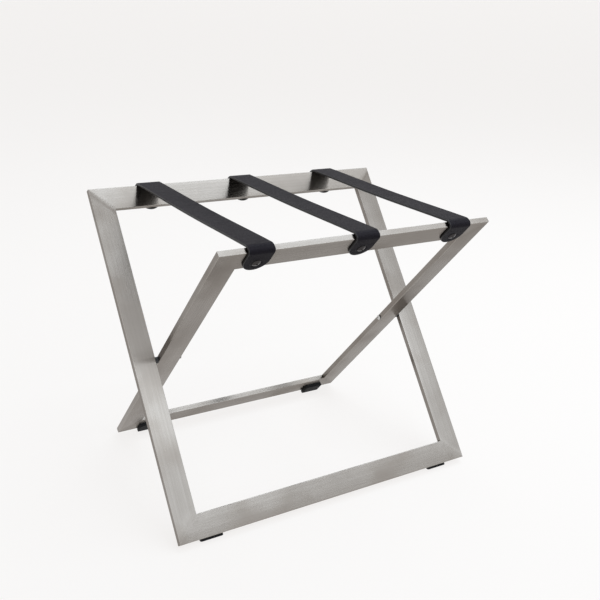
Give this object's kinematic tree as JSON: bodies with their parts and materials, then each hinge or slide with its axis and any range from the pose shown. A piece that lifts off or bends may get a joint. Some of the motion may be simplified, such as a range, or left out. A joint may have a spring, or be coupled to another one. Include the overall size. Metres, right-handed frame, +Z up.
{
  "type": "folding luggage bench",
  "caption": "Folding X-frame luggage bench of flat brushed steel tube, with leather straps between the top rails and rubber feet.",
  "frame": {"origin": "centre of the footprint, on the floor under the pivot axis, with the bench open", "axes": "+X along the rails to the right seen from the front, +Y from the front towards the back, +Z up"},
  "size_m": [0.6, 0.4074, 0.4948],
  "materials": {
    "steel": "brushed, satin",
    "leather": "smooth, soft sheen",
    "rubber": "matte",
    "nylon": "matte",
    "bolt": "polished stainless",
    "screw": "dark nickel, polished",
    "insert": "plain"
  },
  "bodies": {
    "outer_frame": {"outer_top_rail": "steel", "outer_bottom_rail": "steel", "outer_leg_left": "steel", "outer_leg_right": "steel", "outer_foot_left": "rubber", "outer_foot_right": "rubber", "outer_screw_left": "screw", "outer_insert_left": "insert", "outer_screw_middle": "screw", "outer_insert_middle": "insert", "outer_screw_right": "screw", "outer_insert_right": "insert", "pivot_bolt_left": "bolt", "pivot_insert_left": "insert", "pivot_bolt_right": "bolt", "pivot_insert_right": "insert", "strap_left": "leather", "strap_middle": "leather", "strap_right": "leather"},
    "inner_frame": {"inner_top_rail": "steel", "inner_bottom_rail": "steel", "inner_leg_left": "steel", "inner_leg_right": "steel", "inner_foot_left": "rubber", "inner_foot_right": "rubber", "inner_screw_left": "screw", "inner_insert_left": "insert", "inner_screw_middle": "screw", "inner_insert_middle": "insert", "inner_screw_right": "screw", "inner_insert_right": "insert", "pivot_bush_left": "nylon", "pivot_spacer_left": "nylon", "pivot_bush_right": "nylon", "pivot_spacer_right": "nylon"}
  },
  "joints": [
    {"name": "fold", "type": "hinge", "parent": "outer_frame", "child": "inner_frame", "pos_m": [0, 0, 0.24224], "axis": [-1, 0, 0], "range_deg": [0, 72], "deforming": ["strap_left", "strap_middle", "strap_right"]}
  ]
}
